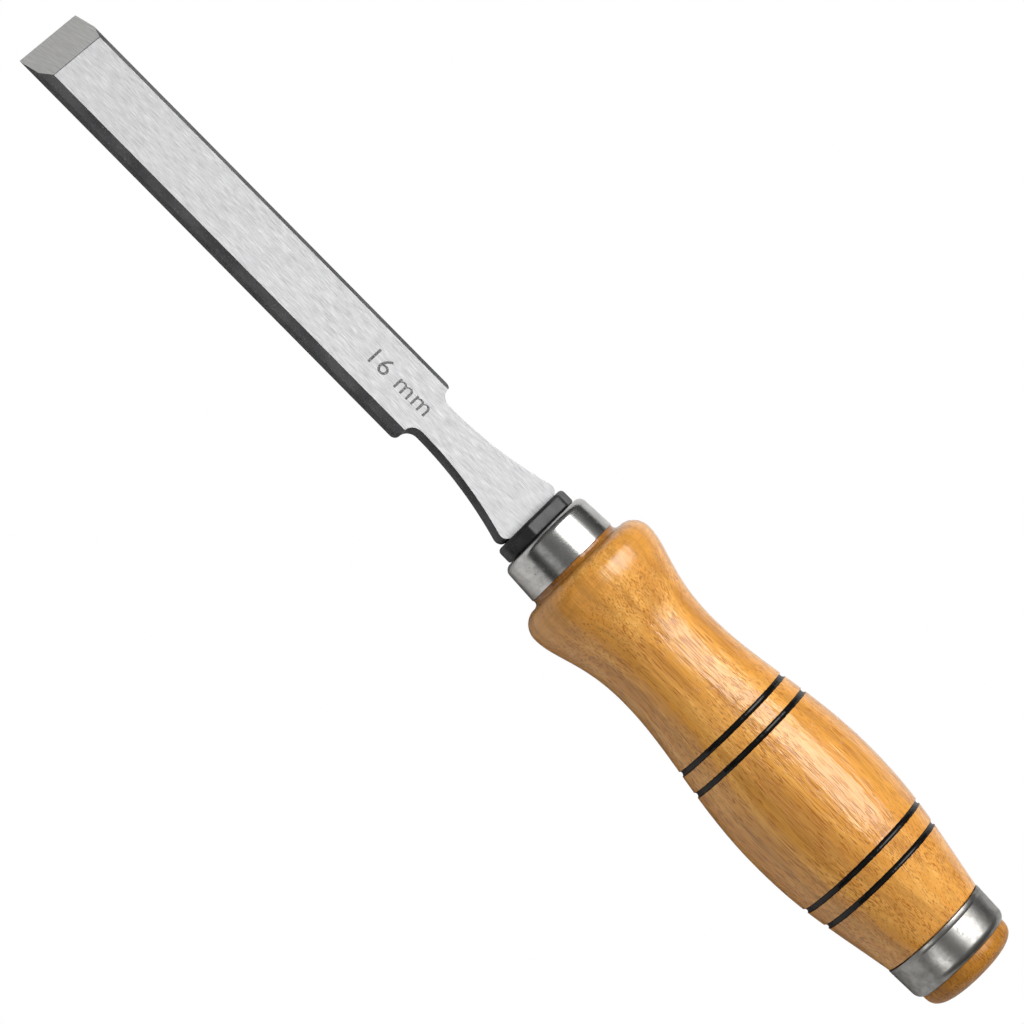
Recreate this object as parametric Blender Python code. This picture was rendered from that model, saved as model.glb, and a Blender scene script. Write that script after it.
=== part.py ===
"""Bench chisel with a bevel-edged blade, 16 mm: five pieces, as they come apart on a bench.

Metres, +Z up. +X runs from the cutting edge to the butt of the handle, and +Z is square to the flat of
the blade, with the cutting bevel on the upper side. The origin lies under the middle of the chisel's
length, level with the lowest point of the handle's belly. Each piece is drawn on its own X axis, which
is the axis of the handle, with x = 0 at its own front end.
"""

import math

import bmesh
import bpy
from mathutils import Vector
from mathutils.geometry import interpolate_bezier

# Fits between pieces
SEAM_GAP = 0.0003  # between faces that seat on each other
TANG_CLEARANCE = 0.0003  # round the tang, in the collar's slot, the ferrule's hole and the mortise

# Blade: the wide, bevel-edged part
BLADE_LENGTH = 0.1043  # cutting edge to shoulder
BLADE_WIDTH = 0.0165
BLADE_THICKNESS = 0.0033
CUTTING_ANGLE = math.radians(25)
CUTTING_EDGE_FLAT = 0.00005
CHAMFER_RUN = 0.0015  # long chamfers that bevel the sides, measured across the blade
CHAMFER_DROP = 0.00115
BACK_EDGE_ROUND = 0.0003

# Blade: shoulder, neck, flare and tang
SHOULDER_ROUND = 0.0014
SHOULDER_FILLET = 0.0026
NECK_LENGTH = 0.0294  # shoulder to the end of the flare
NECK_WIDTH = 0.0085
FLARE_WIDTH = 0.0164
FLARE_CORNER = 0.0016
TANG_LENGTH = 0.062
TANG_ROOT_WIDTH = 0.008
TANG_TIP_WIDTH = 0.004

# Bolster collar: an eight-sided plate
COLLAR_THICKNESS = 0.0029
COLLAR_WIDTH = 0.0187
COLLAR_HEIGHT = 0.0122
COLLAR_TOP_WIDTH = 0.0100
COLLAR_SIDE_HEIGHT = 0.0030
COLLAR_FRONT_CHAMFER = 0.0008
COLLAR_REAR_CHAMFER = 0.0004

# Front ferrule: a drawn steel cup
FERRULE_LENGTH = 0.0084
FERRULE_BORE_RADIUS = 0.0093
FERRULE_FRONT_WALL = 0.0011
FERRULE_REAR_WALL = 0.00145
FERRULE_FACE_THICKNESS = 0.0012
FERRULE_CORNER = 0.0016

# Handle: the grip between the two rings
GRIP_LENGTH = 0.0995
COVE_STEP = 0.00035  # from the ferrule's rear edge down to the bottom of the cove behind it
COVE_LAND = 0.00015
COVE_RUN = 0.0008
COVE_RISE = 0.0011
CROWN_RADIUS = 0.01575  # the rounded front shoulder
CROWN_AT = 0.0052  # from the front of the grip
WAIST_RADIUS = 0.01204
WAIST_AT = 0.0261  # from the front of the grip
BELLY_RADIUS = 0.0162
BELLY_BEFORE_REAR = 0.0328  # from the rear of the grip
REAR_RADIUS = 0.0119  # in front of the hoop
REAR_SLOPE = 0.18
CROWN_FULLNESS = 0.26  # how far each curve holds its level, as a share of its own span
WAIST_FULLNESS = (0.53, 0.33)
BELLY_FULLNESS = (0.41, 0.39)
REAR_FULLNESS = 0.39
TENON_CHAMFER = 0.0006
GROOVE_WIDTH = 0.0012
GROOVE_DEPTH = 0.0004
GROOVE_SPACING = 0.0050
FRONT_PAIR_BEFORE_BELLY = 0.0202
REAR_PAIR_BEFORE_REAR = 0.0170

# Striking hoop and the butt behind it
HOOP_LENGTH = 0.0081
HOOP_STEP = 0.0001  # how far the hoop's front edge stands above the grip
HOOP_TAPER = 0.0002
HOOP_WALL = 0.0010
CRIMP_RADIUS = 0.0022  # the rear edge is bent inwards over the wood
CRIMP_ANGLE = math.radians(57)
BUTT_LENGTH = 0.0046  # from the hoop's rear edge to the end of the handle
BUTT_INSET = 0.00005  # how far the butt lies below the hoop's rear edge
BUTT_SQUARENESS = 3.0  # exponent of the domed end: 2 is an ellipse, higher is squarer
STRIKING_FACE_RADIUS = 0.0030

# How finely curves are cut into flats
ROUND_SEGMENTS = 48
ARC_STEPS = 4
SPAN_STEPS = 8
CUTTER_MARGIN = 0.002
WELD = 1e-6

# Radii that follow from those above
FERRULE_FRONT_RADIUS = FERRULE_BORE_RADIUS + FERRULE_FRONT_WALL
FERRULE_REAR_RADIUS = FERRULE_BORE_RADIUS + FERRULE_REAR_WALL
COVE_RADIUS = FERRULE_REAR_RADIUS - COVE_STEP
HOOP_FRONT_RADIUS = REAR_RADIUS + HOOP_STEP
HOOP_REAR_RADIUS = HOOP_FRONT_RADIUS - HOOP_TAPER
BUTT_RADIUS = HOOP_REAR_RADIUS - CRIMP_RADIUS * (1 - math.cos(CRIMP_ANGLE)) - BUTT_INSET

# Places along the axis, from the cutting edge
FLARE_END_X = BLADE_LENGTH + NECK_LENGTH
COLLAR_X = FLARE_END_X + SEAM_GAP
FERRULE_X = COLLAR_X + COLLAR_THICKNESS + SEAM_GAP
GRIP_X = FERRULE_X + FERRULE_LENGTH + SEAM_GAP
HOOP_X = GRIP_X + GRIP_LENGTH + SEAM_GAP
TOTAL_LENGTH = HOOP_X + HOOP_LENGTH + BUTT_LENGTH


def clear_scene():
    for obj in list(bpy.data.objects):
        bpy.data.objects.remove(obj, do_unlink=True)


def principled(name, color, roughness, metallic):
    material = bpy.data.materials.new(name)
    material.use_nodes = True
    shader = material.node_tree.nodes["Principled BSDF"]
    shader.inputs["Base Color"].default_value = (*color, 1.0)
    shader.inputs["Roughness"].default_value = roughness
    shader.inputs["Metallic"].default_value = metallic
    material.diffuse_color = (*color, 1.0)
    return material


def finish_object(name, bm, parent, x, material=None, smooth=False):
    """Make the object of a bmesh, x along its parent's axis. One with no material is a hidden cutter."""
    bmesh.ops.recalc_face_normals(bm, faces=bm.faces)
    mesh = bpy.data.meshes.new(name)
    bm.to_mesh(mesh)
    bm.free()
    obj = bpy.data.objects.new(name, mesh)
    bpy.context.scene.collection.objects.link(obj)
    obj.parent = parent
    obj.location = (x, 0, 0)
    if material is None:
        obj.hide_render = True
        obj.display_type = "WIRE"
    else:
        mesh.materials.append(material)
    if smooth:
        mesh.shade_smooth()
        mesh.set_sharp_from_angle(angle=math.radians(30))
    return obj


def cut(obj, cutter):
    modifier = obj.modifiers.new(cutter.name, "BOOLEAN")
    modifier.operation = "DIFFERENCE"
    modifier.solver = "EXACT"
    modifier.object = cutter


def oval_arc(centre, run, rise, start, end, steps=ARC_STEPS):
    """Points on an ellipse of half-width run and half-height rise, both ends included."""
    angles = [start + (end - start) * i / steps for i in range(steps + 1)]
    return [(centre[0] + run * math.cos(a), centre[1] + rise * math.sin(a)) for a in angles]


def arc(centre, radius, start, end, steps=ARC_STEPS):
    return oval_arc(centre, radius, radius, start, end, steps)


def prism(points, thickness, centre=0.0, plane="XY"):
    """A bmesh of an outline, drawn in the named plane and given its thickness about that centre."""
    low = centre - thickness / 2
    place = {
        "XY": lambda a, b: Vector((a, b, low)),
        "XZ": lambda a, b: Vector((a, low, b)),
        "YZ": lambda a, b: Vector((low, a, b)),
    }[plane]
    along = {"XY": Vector((0, 0, 1)), "XZ": Vector((0, 1, 0)), "YZ": Vector((1, 0, 0))}[plane]
    bm = bmesh.new()
    bm.faces.new([bm.verts.new(place(a, b)) for a, b in points])
    bmesh.ops.remove_doubles(bm, verts=bm.verts, dist=WELD)
    grown = bmesh.ops.extrude_face_region(bm, geom=bm.faces[:])
    moved = [item for item in grown["geom"] if isinstance(item, bmesh.types.BMVert)]
    bmesh.ops.translate(bm, verts=moved, vec=along * thickness)
    return bm


def turned(profile, closed):
    """A bmesh turned round the X axis from (x, radius) points: a ring if closed, else a solid."""
    bm = bmesh.new()
    verts = [bm.verts.new((x, 0, radius)) for x, radius in profile]
    edges = [bm.edges.new(pair) for pair in zip(verts, verts[1:])]
    if closed:
        edges.append(bm.edges.new((verts[-1], verts[0])))
    bmesh.ops.spin(
        bm,
        geom=verts + edges,
        cent=(0, 0, 0),
        axis=(1, 0, 0),
        angle=2 * math.pi,
        steps=ROUND_SEGMENTS,
        use_merge=True,
    )
    bmesh.ops.remove_doubles(bm, verts=bm.verts, dist=WELD)
    return bm


# ---------------------------------------------------------------- blade


def shoulder_outline():
    """From the blade's side round the shoulder and into the neck, on the +Y side."""
    step = (BLADE_WIDTH - NECK_WIDTH) / 2
    fit = min(1.0, step / (SHOULDER_ROUND + SHOULDER_FILLET))
    outer, inner = SHOULDER_ROUND * fit, SHOULDER_FILLET * fit
    corner = (BLADE_LENGTH - outer, BLADE_WIDTH / 2 - outer)
    hollow = (BLADE_LENGTH + inner, NECK_WIDTH / 2 + inner)
    return arc(corner, outer, math.pi / 2, 0) + arc(hollow, inner, math.pi, 1.5 * math.pi)


def flare_outline():
    """One hollow arc from the neck, tangent to the rounded corner where the flare meets its end face."""
    start_x = BLADE_LENGTH + SHOULDER_FILLET
    corner = (FLARE_END_X - FLARE_CORNER, FLARE_WIDTH / 2 - FLARE_CORNER)
    run = corner[0] - start_x
    rise = corner[1] - NECK_WIDTH / 2
    radius = (run**2 + rise**2 - FLARE_CORNER**2) / (2 * (rise + FLARE_CORNER))
    centre = (start_x, NECK_WIDTH / 2 + radius)
    sweep = math.atan2(run, centre[1] - corner[1])
    hollow = arc(centre, radius, -math.pi / 2, sweep - math.pi / 2, 2 * ARC_STEPS)
    return hollow + arc(corner, FLARE_CORNER, sweep + math.pi / 2, 0)


def tang_outline(clearance=0.0):
    """The tang's +Y side, tapering from the flare's end face to its tip, grown by a clearance."""
    root = (FLARE_END_X, TANG_ROOT_WIDTH / 2 + clearance)
    tip = (FLARE_END_X + TANG_LENGTH + clearance, TANG_TIP_WIDTH / 2 + clearance)
    return [root, tip]


def mirrored(side):
    return side + [(x, -y) for x, y in reversed(side)]


def chamfer_cutter(side, parent):
    """A wedge that takes the upper corner off one side of the blade, and stops at the shoulder."""
    slope = CHAMFER_DROP / CHAMFER_RUN
    inner = BLADE_WIDTH / 2 - CHAMFER_RUN
    top = BLADE_THICKNESS / 2
    section = [
        (inner - CUTTER_MARGIN, top + slope * CUTTER_MARGIN),
        (BLADE_WIDTH / 2 + CUTTER_MARGIN, top - CHAMFER_DROP - slope * CUTTER_MARGIN),
        (BLADE_WIDTH / 2 + CUTTER_MARGIN, top + slope * CUTTER_MARGIN),
    ]
    length = BLADE_LENGTH + SHOULDER_FILLET + CUTTER_MARGIN
    bm = prism([(side * y, z) for y, z in section], length, centre=length / 2 - CUTTER_MARGIN, plane="YZ")
    return finish_object(f"cut_chamfer_{'left' if side > 0 else 'right'}", bm, parent, 0)


def cutting_bevel_cutter(parent):
    """Takes the upper side away above the slope that rises from the cutting edge."""
    slope = math.tan(CUTTING_ANGLE)
    edge_z = CUTTING_EDGE_FLAT - BLADE_THICKNESS / 2
    reach = BLADE_THICKNESS / slope + CUTTER_MARGIN
    section = [
        (-CUTTER_MARGIN, edge_z - slope * CUTTER_MARGIN),
        (reach, edge_z + slope * reach),
        (-CUTTER_MARGIN, edge_z + slope * reach),
    ]
    bm = prism(section, BLADE_WIDTH + 2 * CUTTER_MARGIN, plane="XZ")
    return finish_object("cut_cutting_bevel", bm, parent, 0)


def is_back_edge(edge):
    """True for the lower rim of the blade, neck and flare: not the cutting edge, not the tang."""
    on_back = all(v.co.z < 0 for v in edge.verts)
    at_cutting_edge = all(v.co.x < CUTTER_MARGIN for v in edge.verts)
    on_tang = any(v.co.x > FLARE_END_X + SEAM_GAP for v in edge.verts)
    at_root = all(v.co.x > FLARE_END_X - SEAM_GAP for v in edge.verts)
    return on_back and len(edge.link_faces) == 2 and not (at_cutting_edge or on_tang or at_root)


def make_blade(parent):
    steel = principled("blade_steel", (0.62, 0.62, 0.61), 0.32, 1.0)
    side = [(0, BLADE_WIDTH / 2)] + shoulder_outline() + flare_outline() + tang_outline()
    bm = prism(mirrored(side), BLADE_THICKNESS)
    bmesh.ops.bevel(
        bm,
        geom=[edge for edge in bm.edges if is_back_edge(edge)],
        offset=BACK_EDGE_ROUND,
        affect="EDGES",
        segments=2,
        profile=0.5,
        material=-1,
    )
    blade = finish_object("blade", bm, parent, 0, steel)
    for side_sign in (1, -1):
        cut(blade, chamfer_cutter(side_sign, parent))
    cut(blade, cutting_bevel_cutter(parent))
    return blade


# ---------------------------------------------------------------- collar and ferrule


def make_collar(parent):
    enamel = principled("black_enamel", (0.02, 0.02, 0.02), 0.3, 0.0)
    half_width, half_height = COLLAR_WIDTH / 2, COLLAR_HEIGHT / 2
    quarter = [(half_width, COLLAR_SIDE_HEIGHT / 2), (COLLAR_TOP_WIDTH / 2, half_height)]
    upper = quarter + [(-y, z) for y, z in reversed(quarter)]
    outline = upper + [(y, -z) for y, z in reversed(upper)]
    bm = prism(outline, COLLAR_THICKNESS, centre=COLLAR_THICKNESS / 2, plane="YZ")
    for x, width in ((0, COLLAR_FRONT_CHAMFER), (COLLAR_THICKNESS, COLLAR_REAR_CHAMFER)):
        rim = [e for e in bm.edges if all(abs(v.co.x - x) < SEAM_GAP / 10 for v in e.verts)]
        bmesh.ops.bevel(bm, geom=rim, offset=width, affect="EDGES", segments=1, profile=0.5, material=-1)
    collar = finish_object("bolster_collar", bm, parent, COLLAR_X, enamel)
    half_slot = TANG_ROOT_WIDTH / 2 + TANG_CLEARANCE
    slot = [(-CUTTER_MARGIN, half_slot), (COLLAR_THICKNESS + CUTTER_MARGIN, half_slot)]
    bm = prism(mirrored(slot), BLADE_THICKNESS + 2 * TANG_CLEARANCE)
    cut(collar, finish_object("cut_collar_slot", bm, parent, COLLAR_X))
    return collar


def make_ferrule(parent):
    steel = principled("ferrule_steel", (0.56, 0.55, 0.53), 0.25, 1.0)
    hole_radius = math.hypot(TANG_ROOT_WIDTH, BLADE_THICKNESS) / 2 + TANG_CLEARANCE
    inner_corner = FERRULE_CORNER - FERRULE_FACE_THICKNESS
    corner = (FERRULE_CORNER, FERRULE_FRONT_RADIUS - FERRULE_CORNER)
    inner = (FERRULE_FACE_THICKNESS + inner_corner, FERRULE_BORE_RADIUS - inner_corner)
    profile = [(0, hole_radius)]
    profile += arc(corner, FERRULE_CORNER, math.pi, math.pi / 2)
    profile += [(FERRULE_LENGTH, FERRULE_REAR_RADIUS), (FERRULE_LENGTH, FERRULE_BORE_RADIUS)]
    profile += arc(inner, inner_corner, math.pi / 2, math.pi, 2)
    profile += [(FERRULE_FACE_THICKNESS, hole_radius)]
    return finish_object("front_ferrule", turned(profile, True), parent, FERRULE_X, steel, smooth=True)


# ---------------------------------------------------------------- handle and hoop


def curve_between(start, end, fullness, end_slope=0.0):
    """A smooth curve that leaves start level and meets end falling at end_slope; start is left out."""
    span = end[0] - start[0]
    leave = (start[0] + fullness[0] * span, start[1])
    arrive = (end[0] - fullness[1] * span, end[1] + end_slope * fullness[1] * span)
    knots = [Vector((*point, 0)) for point in (start, leave, arrive, end)]
    return [(point.x, point.y) for point in interpolate_bezier(*knots, SPAN_STEPS + 1)][1:]


def radius_at(contour, x):
    """The contour's radius at x, read along its straight stretches."""
    for (x0, r0), (x1, r1) in zip(contour, contour[1:]):
        if x0 <= x <= x1:
            return r0 + (r1 - r0) * (x - x0) / (x1 - x0)
    raise ValueError(f"x = {x} lies off the contour")


def groove_stations():
    """The middle of each of the four grooves, from the front of the grip."""
    front_pair = GRIP_LENGTH - BELLY_BEFORE_REAR - FRONT_PAIR_BEFORE_BELLY
    rear_pair = GRIP_LENGTH - REAR_PAIR_BEFORE_REAR
    return [pair + side * GROOVE_SPACING / 2 for pair in (front_pair, rear_pair) for side in (-1, 1)]


def with_grooves(contour):
    """The contour with a V turned in at each station: two lips on the surface and a floor between."""
    for centre in groove_stations():
        front, rear = centre - GROOVE_WIDTH / 2, centre + GROOVE_WIDTH / 2
        notch = [
            (front, radius_at(contour, front)),
            (centre, radius_at(contour, centre) - GROOVE_DEPTH),
            (rear, radius_at(contour, rear)),
        ]
        before = [point for point in contour if point[0] < front]
        after = [point for point in contour if point[0] > rear]
        contour = before + notch + after
    return contour


def tenon():
    """From the axis at the tenon's front face to the step behind the ferrule."""
    front = FERRULE_FACE_THICKNESS - FERRULE_LENGTH
    radius = FERRULE_BORE_RADIUS - SEAM_GAP
    return [(front, 0), (front, radius - TENON_CHAMFER), (front + TENON_CHAMFER, radius), (0, radius)]


def grip():
    """Cove, rounded crown, waist, belly and rear taper, from the front of the grip."""
    nose_x = COVE_LAND + COVE_RUN
    nose_radius = COVE_RADIUS + COVE_RISE
    crown = (CROWN_AT, CROWN_RADIUS)
    waist = (WAIST_AT, WAIST_RADIUS)
    belly = (GRIP_LENGTH - BELLY_BEFORE_REAR, BELLY_RADIUS)
    rear = (GRIP_LENGTH, REAR_RADIUS)
    quarter = math.pi / 2
    contour = [(0, COVE_RADIUS)]
    contour += oval_arc((COVE_LAND, nose_radius), COVE_RUN, COVE_RISE, -quarter, 0)
    nose_run, nose_rise = CROWN_AT - nose_x, CROWN_RADIUS - nose_radius
    contour += oval_arc((CROWN_AT, nose_radius), nose_run, nose_rise, 2 * quarter, quarter)
    contour += curve_between(crown, waist, (CROWN_FULLNESS, WAIST_FULLNESS[0]))
    contour += curve_between(waist, belly, (WAIST_FULLNESS[1], BELLY_FULLNESS[0]))
    contour += curve_between(belly, rear, (BELLY_FULLNESS[1], REAR_FULLNESS), REAR_SLOPE)
    return with_grooves(contour)


def crimp_centre(hoop_front):
    """Where the hoop's bent-in rear edge is struck from, for a hoop whose front edge is at hoop_front."""
    rear = hoop_front + HOOP_LENGTH
    return (rear - CRIMP_RADIUS * math.sin(CRIMP_ANGLE), HOOP_REAR_RADIUS - CRIMP_RADIUS)


def hoop_seat():
    """The wood under the hoop: a step, a taper, and the hollow that the crimped edge is bent into."""
    crimp = crimp_centre(GRIP_LENGTH + SEAM_GAP)
    radius = CRIMP_RADIUS - HOOP_WALL - SEAM_GAP
    corner = math.pi / 2 - CRIMP_ANGLE - math.asin(SEAM_GAP / radius)
    step = (GRIP_LENGTH, HOOP_FRONT_RADIUS - HOOP_WALL - SEAM_GAP)
    return [step] + arc(crimp, radius, math.pi / 2, corner)


def butt(seat_end):
    """From the hollow under the crimped edge, over a squared-off dome, to the axis at the striking face."""
    dome_x = seat_end[0] + (BUTT_RADIUS - seat_end[1]) * math.tan(CRIMP_ANGLE)
    end_x = GRIP_LENGTH + SEAM_GAP + HOOP_LENGTH + BUTT_LENGTH
    power = 1 / BUTT_SQUARENESS
    at_flat = (1 - (STRIKING_FACE_RADIUS / BUTT_RADIUS) ** BUTT_SQUARENESS) ** power
    full_length = (end_x - dome_x) / at_flat
    dome = []
    for i in range(2 * ARC_STEPS):
        angle = math.pi / 2 * i / (2 * ARC_STEPS)
        radius = BUTT_RADIUS * math.cos(angle) ** (2 * power)
        if radius > STRIKING_FACE_RADIUS:
            dome.append((dome_x + full_length * math.sin(angle) ** (2 * power), radius))
    return dome + [(end_x, STRIKING_FACE_RADIUS), (end_x, 0)]


def make_handle(parent):
    wood = principled("varnished_wood", (0.62, 0.33, 0.09), 0.3, 0.0)
    seat = hoop_seat()
    profile = tenon() + grip() + seat + butt(seat[-1])
    handle = finish_object("handle", turned(profile, False), parent, GRIP_X, wood, smooth=True)
    mortise = prism(mirrored(tang_outline(TANG_CLEARANCE)), BLADE_THICKNESS + 2 * TANG_CLEARANCE)
    cut(handle, finish_object("cut_mortise", mortise, parent, 0))
    return handle


def make_hoop(parent):
    steel = principled("hoop_steel", (0.5, 0.49, 0.47), 0.3, 1.0)
    crimp = crimp_centre(0)
    end = math.pi / 2 - CRIMP_ANGLE
    profile = [(0, HOOP_FRONT_RADIUS - HOOP_WALL), (0, HOOP_FRONT_RADIUS)]
    profile += arc(crimp, CRIMP_RADIUS, math.pi / 2, end)
    profile += arc(crimp, CRIMP_RADIUS - HOOP_WALL, end, math.pi / 2)
    return finish_object("striking_hoop", turned(profile, True), parent, HOOP_X, steel, smooth=True)


def build():
    clear_scene()
    axis = bpy.data.objects.new("chisel_axis", None)
    axis.location = (-TOTAL_LENGTH / 2, 0, BELLY_RADIUS)
    bpy.context.scene.collection.objects.link(axis)
    for make in (make_blade, make_collar, make_ferrule, make_handle, make_hoop):
        make(axis)


build()
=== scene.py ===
"""Bench chisel: the visible pieces and their finishes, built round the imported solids.

Metres, +Z up. +X runs from the cutting edge to the butt of the handle. Every piece is drawn on its own
axis, with x = 0 at its own front end, and is then moved to where its solid lies.
"""

import logging
import math
from dataclasses import dataclass, field
from enum import Enum, IntEnum

import bmesh
import bpy
from mathutils import Matrix, Vector
from mathutils.geometry import interpolate_bezier


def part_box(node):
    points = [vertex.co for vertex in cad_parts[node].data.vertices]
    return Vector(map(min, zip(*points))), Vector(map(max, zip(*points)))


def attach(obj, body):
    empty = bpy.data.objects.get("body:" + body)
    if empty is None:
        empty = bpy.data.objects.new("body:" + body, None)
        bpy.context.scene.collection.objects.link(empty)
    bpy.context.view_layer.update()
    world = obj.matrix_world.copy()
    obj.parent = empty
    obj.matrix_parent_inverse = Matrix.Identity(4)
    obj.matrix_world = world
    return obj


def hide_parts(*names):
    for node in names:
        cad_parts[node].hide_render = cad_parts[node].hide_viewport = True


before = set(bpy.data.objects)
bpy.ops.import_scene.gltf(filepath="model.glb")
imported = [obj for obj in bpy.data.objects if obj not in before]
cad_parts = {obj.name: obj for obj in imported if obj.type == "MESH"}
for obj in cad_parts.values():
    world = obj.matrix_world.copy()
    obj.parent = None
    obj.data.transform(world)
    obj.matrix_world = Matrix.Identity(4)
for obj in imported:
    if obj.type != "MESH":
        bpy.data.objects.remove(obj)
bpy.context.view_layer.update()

LOG = logging.getLogger("bench_chisel")

ROUND_SEGMENTS = 192  # flats round a turned piece
ARC_STEPS = 10  # chords in a short arc
WELD = 1e-7  # vertices nearer than this are one
NEAR = 1e-6  # how far a vertex may lie from the place where it is looked for
GAP = 0.0003  # what the solids leave between pieces that touch
SEAM = 0.00002  # what the visible pieces leave of it
FLUSH = math.radians(0.5)  # a turn too slight to see

Point = tuple[float, float]
Color = tuple[float, float, float]
Mesh = bmesh.types.BMesh
Vert = bmesh.types.BMVert
Edge = bmesh.types.BMEdge
Face = bmesh.types.BMFace
Piece = bpy.types.Object
Material = bpy.types.Material
Socket = bpy.types.NodeSocket


# ---------------------------------------------------------------- shared drawing


def arc(centre: Point, radius: float, start: float, end: float, steps: int = ARC_STEPS) -> list[Point]:
    """Points on a circular arc, both ends included.

    Args:
        centre: The middle of the circle.
        radius: Its radius.
        start: The angle of the first point, in radians.
        end: The angle of the last point, in radians.
        steps: How many chords the arc is cut into.

    Returns:
        The points in order.
    """
    angles = [start + (end - start) * i / steps for i in range(steps + 1)]
    return [(centre[0] + radius * math.cos(a), centre[1] + radius * math.sin(a)) for a in angles]


def curve(
    start: Point, end: Point, fullness: Point, end_slope: float = 0.0, steps: int = 28
) -> list[Point]:
    """A smooth curve that leaves start level and meets end falling at end_slope.

    Args:
        start: The first point, which is left out of the result.
        end: The last point.
        fullness: How far the curve holds its level at each end, as a share of its span.
        end_slope: The fall per length at the end.
        steps: How many chords the curve is cut into.

    Returns:
        The points after start, in order.
    """
    span = end[0] - start[0]
    leave = (start[0] + fullness[0] * span, start[1])
    arrive = (end[0] - fullness[1] * span, end[1] + end_slope * fullness[1] * span)
    knots = [Vector((*point, 0)) for point in (start, leave, arrive, end)]
    return [(point.x, point.y) for point in interpolate_bezier(*knots, steps + 1)][1:]


def turned(profile: list[Point], closed: bool) -> Mesh:
    """Turn a profile round the X axis.

    Args:
        profile: The (x, radius) points.
        closed: True for a ring, whose profile returns to its start, and False for a solid that ends on
            the axis.

    Returns:
        The turned mesh, with its poles and seam closed.
    """
    bm = bmesh.new()
    verts = [bm.verts.new((x, 0, radius)) for x, radius in profile]
    edges = [bm.edges.new(pair) for pair in zip(verts, verts[1:])]
    if closed:
        edges.append(bm.edges.new((verts[-1], verts[0])))
    bmesh.ops.spin(
        bm,
        geom=verts + edges,
        cent=(0, 0, 0),
        axis=(1, 0, 0),
        angle=2 * math.pi,
        steps=ROUND_SEGMENTS,
        use_merge=True,
    )
    bmesh.ops.remove_doubles(bm, verts=bm.verts, dist=WELD)
    bmesh.ops.recalc_face_normals(bm, faces=bm.faces)
    return bm


def round_edges(
    bm: Mesh,
    edges: list[Edge],
    offset: float,
    segments: int,
    clamp: bool = True,
) -> list[Face]:
    """Round some edges.

    Args:
        bm: The mesh.
        edges: The edges to round.
        offset: How far back from the edge the rounding starts.
        segments: How many strips it gets.
        clamp: Whether short neighbouring edges may narrow the rounding.

    Returns:
        The new faces.
    """
    made = bmesh.ops.bevel(
        bm,
        geom=edges,
        offset=offset,
        affect="EDGES",
        segments=segments,
        profile=0.5,
        material=-1,
        clamp_overlap=clamp,
    )
    return made["faces"]


def rings_at(bm: Mesh, x: float, radius: float) -> list[Edge]:
    """The edges of a turned piece that run round it at one station.

    Args:
        bm: The turned mesh.
        x: The station along the axis.
        radius: The radius there.

    Returns:
        The edges of that ring.
    """

    def on_ring(vert: Vert) -> bool:
        """True for a vertex of the ring."""
        away = abs(math.hypot(vert.co.y, vert.co.z) - radius)
        return abs(vert.co.x - x) < NEAR and away < NEAR

    return [edge for edge in bm.edges if all(on_ring(vert) for vert in edge.verts)]


def mark_sharp(bm: Mesh, angle: float, flat_area: float = math.inf) -> None:
    """Shade the mesh smooth, apart from edges that turn sharply or that border a large flat.

    Args:
        bm: The mesh.
        angle: The turn, in radians, from which an edge is sharp.
        flat_area: The area from which a face keeps its own normal right up to its rim.
    """
    for face in bm.faces:
        face.smooth = True
    for edge in bm.edges:
        turn = edge.calc_face_angle(0.0)
        borders_flat = any(face.calc_area() > flat_area for face in edge.link_faces)
        edge.smooth = not (turn > angle or (borders_flat and turn > FLUSH))


def lowest(node: str) -> Vector:
    """The lowest corner of a solid's box."""
    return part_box(node)[0]


def clamped(share: float) -> float:
    """A share, held between 0 and 1."""
    return min(1.0, max(0.0, share))


def axis_height() -> float:
    """The height of the chisel's axis, which is the middle of the handle's box."""
    low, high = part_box("handle")
    return (low.z + high.z) / 2


def show(
    name: str,
    bm: Mesh,
    x: float,
    node: str,
    finishes: list[Material],
    stands_for_node: bool = True,
) -> Piece:
    """Make the object of a finished mesh and tie it to the frame.

    Args:
        name: The piece's name.
        bm: Its mesh, drawn on its own axis. It is freed.
        x: Where its front end lies.
        node: The solid that it belongs to.
        finishes: Its materials, in the order of the faces' indices.
        stands_for_node: Whether the piece replaces the solid.

    Returns:
        The object, at the origin, with its place in its mesh.
    """
    bmesh.ops.translate(bm, verts=bm.verts, vec=(x, 0, axis_height()))
    mesh = bpy.data.meshes.new(name)
    bm.to_mesh(mesh)
    bm.free()
    for finish in finishes:
        mesh.materials.append(finish)
    obj = bpy.data.objects.new(name, mesh)
    bpy.context.scene.collection.objects.link(obj)
    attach(obj, "root")
    if stands_for_node:
        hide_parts(node)
    return obj


# ---------------------------------------------------------------- finishes


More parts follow.
